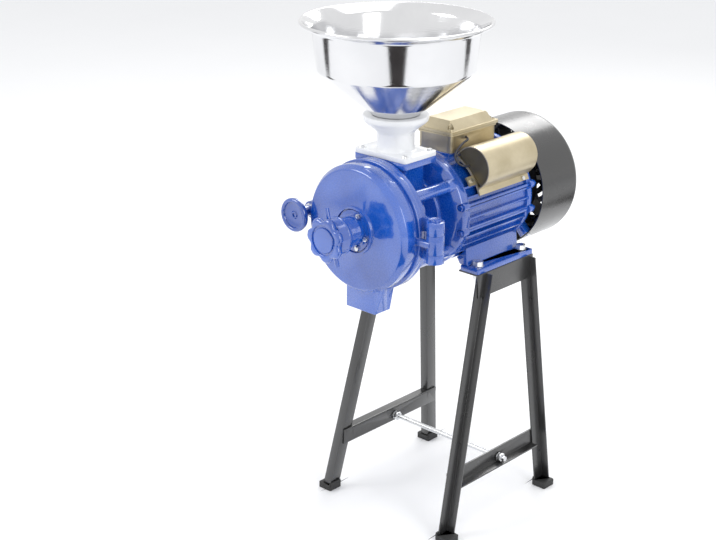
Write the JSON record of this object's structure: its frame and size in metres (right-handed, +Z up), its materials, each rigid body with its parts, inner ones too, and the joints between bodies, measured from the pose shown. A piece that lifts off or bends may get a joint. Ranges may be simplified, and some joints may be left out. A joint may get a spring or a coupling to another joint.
{
  "type": "electric grain mill",
  "caption": "Motor-driven disc grain mill with a steel hopper, hinged grinding cover, adjusting knob and clamp, on a two-frame bolted stand.",
  "frame": {"origin": "on the floor under the shaft axis, midway between the face of the adjusting knob and the back of the fan cover", "axes": "+Z up; +Y along the motor shaft from the grinding cover to the fan cover; +X to the right of someone facing the cover, on the hinge side"},
  "size_m": [0.28, 0.481, 0.79],
  "materials": {
    "blue_enamel": "glossy enamel on castings",
    "polished_steel": "mirror polished sheet",
    "white_plastic": "smooth moulded",
    "zinc": "bright zinc plate",
    "steel": "turned steel",
    "cast_iron": "machined faces",
    "core_steel": "laminated",
    "copper": "varnished copper wire",
    "gold_paint": "champagne metallic satin",
    "bronze_paint": "dark satin",
    "black_cover_paint": "satin",
    "black_frame_paint": "semi-gloss powder coat",
    "black_rubber": "matt",
    "black_plastic": "matt moulded",
    "lead_sheath": "smooth sheath"
  },
  "bodies": {
    "root": {"feed_neck": "white_plastic", "feed_neck_screws": "zinc", "grinding_housing": "blue_enamel", "housing_bolts": "zinc", "shaft_seal": "black_rubber", "hinge_pin": "blue_enamel", "bearing_outer_rings": "steel", "front_end_shield": "blue_enamel", "stator_frame": "blue_enamel", "stator_core": "core_steel", "stator_windings": "copper", "rear_end_shield": "blue_enamel", "through_bolts": "blue_enamel", "fan_cover": "black_cover_paint", "right_motor_foot": "blue_enamel", "left_motor_foot": "blue_enamel", "motor_foot_bolts": "zinc", "terminal_box": "gold_paint", "box_gasket": "black_rubber", "terminal_box_lid": "gold_paint", "terminal_block": "black_plastic", "cord_gland": "black_plastic", "capacitor_cover": "gold_paint", "capacitor_end_cap": "bronze_paint", "capacitor": "black_plastic", "motor_cover_screws": "zinc", "capacitor_lead": "lead_sheath", "right_front_leg": "black_frame_paint", "right_rear_leg": "black_frame_paint", "right_bracket": "black_frame_paint", "right_crossbar": "black_frame_paint", "left_front_leg": "black_frame_paint", "left_rear_leg": "black_frame_paint", "left_bracket": "black_frame_paint", "left_crossbar": "black_frame_paint", "foot_caps": "black_rubber", "tie_rod": "zinc", "stand_nuts": "zinc"},
    "hopper": {"hopper": "polished_steel"},
    "rotor": {"motor_shaft": "steel", "rotor_core": "core_steel", "cooling_fan": "black_plastic", "bearing_inner_rings": "steel", "feed_auger": "cast_iron", "rotating_disc": "cast_iron", "disc_nut": "zinc"},
    "front_cover": {"front_cover": "blue_enamel", "guide_pins": "steel", "threaded_bush": "blue_enamel", "bush_screws": "zinc"},
    "pressure_plate": {"pressure_plate": "cast_iron", "fixed_disc": "cast_iron", "fixed_disc_screws": "zinc"},
    "adjuster": {"adjusting_screw": "steel", "star_knob": "blue_enamel"},
    "lock_nut": {"lock_nut": "blue_enamel", "lock_levers": "blue_enamel"},
    "clamp_carrier": {"clamp_washer": "zinc"},
    "clamp": {"clamp_stud": "steel", "clamp_knob": "blue_enamel"}
  },
  "joints": [
    {"name": "rotor_spin", "type": "hinge", "parent": "root", "child": "rotor", "pos_m": [0, -0.0875, 0.495], "axis": [0, 1, 0], "continuous": true},
    {"name": "cover_swing", "type": "hinge", "parent": "root", "child": "front_cover", "pos_m": [0.119, -0.1345, 0.495], "axis": [0, 0, 1], "range_deg": [0, 110]},
    {"name": "gap_slide", "type": "slide", "parent": "front_cover", "child": "pressure_plate", "axis": [0, 1, 0], "range_m": [-0.003, 0.0005]},
    {"name": "adjust_turn", "type": "hinge", "parent": "pressure_plate", "child": "adjuster", "pos_m": [0, -0.2405, 0.495], "axis": [0, 1, 0], "range_deg": [-542, 92]},
    {"name": "lock_nut_turn", "type": "hinge", "parent": "front_cover", "child": "lock_nut", "pos_m": [0, -0.2285, 0.495], "axis": [0, 1, 0], "range_deg": [-75, 0]},
    {"name": "clamp_travel", "type": "slide", "parent": "front_cover", "child": "clamp_carrier", "axis": [0, -1, 0], "range_m": [0, 0.012]},
    {"name": "clamp_turn", "type": "hinge", "parent": "clamp_carrier", "child": "clamp", "pos_m": [-0.114, -0.1505, 0.495], "axis": [0, -1, 0], "range_deg": [-2, 2162]},
    {"name": "hopper_lift", "type": "slide", "parent": "root", "child": "hopper", "axis": [0, 0, 1], "range_m": [0, 0.06]}
  ],
  "couplings": [
    {"joint": "adjust_turn", "follows": "gap_slide", "rad_per_m": 3141.6},
    {"joint": "clamp_turn", "follows": "clamp_travel", "rad_per_m": 3141.6}
  ]
}
